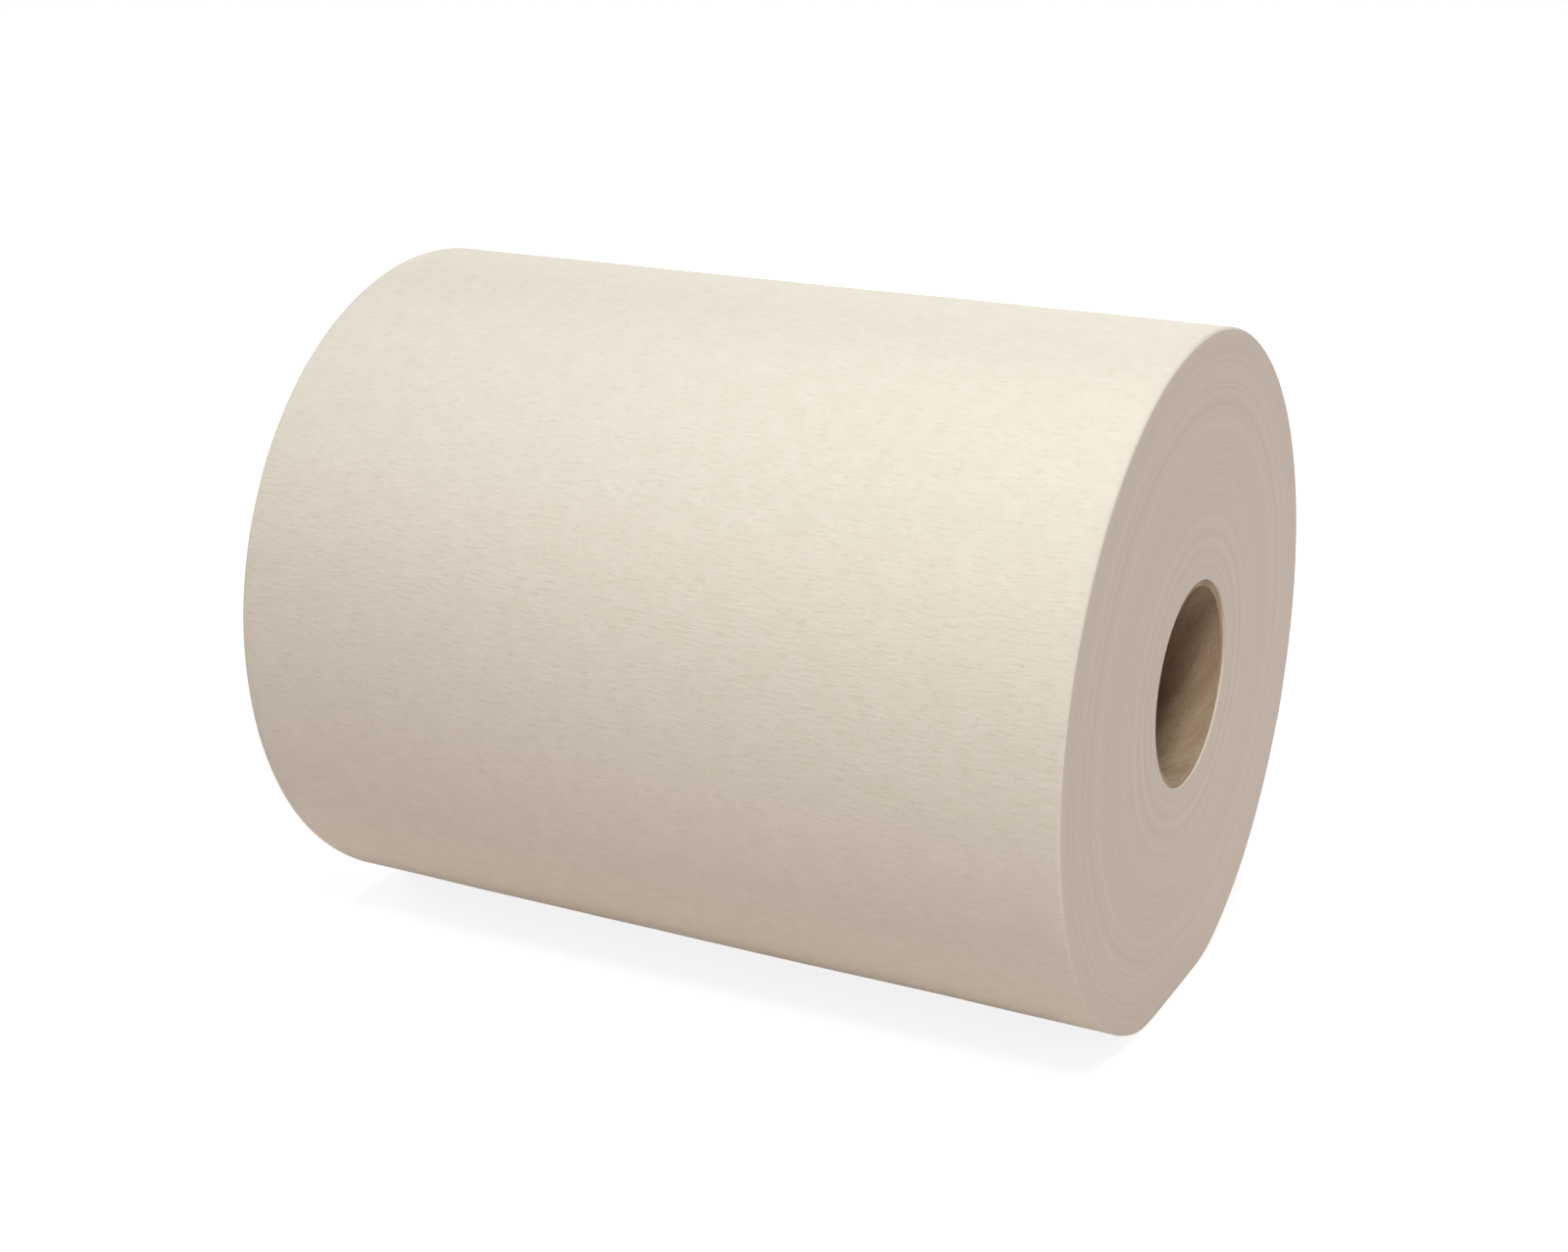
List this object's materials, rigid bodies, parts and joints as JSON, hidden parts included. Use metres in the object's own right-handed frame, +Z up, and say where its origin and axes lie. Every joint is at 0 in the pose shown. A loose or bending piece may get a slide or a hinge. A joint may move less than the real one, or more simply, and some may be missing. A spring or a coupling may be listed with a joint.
{
  "type": "paper towel roll",
  "caption": "Wide roll of cream paper towel wound on an open cardboard core, lying on its side on the flat spot that its weight presses.",
  "frame": {"origin": "middle of the flat spot under the roll, on the surface it lies on", "axes": "+X along the roll's axis, towards the end that the picture shows; +Y towards its back; +Z up"},
  "size_m": [0.203, 0.16, 0.157],
  "materials": {
    "towel_paper": "matte creped tissue",
    "core_board": "matte recycled board"
  },
  "bodies": {
    "root": {"towel_roll": "towel_paper", "core": "core_board"}
  },
  "joints": []
}
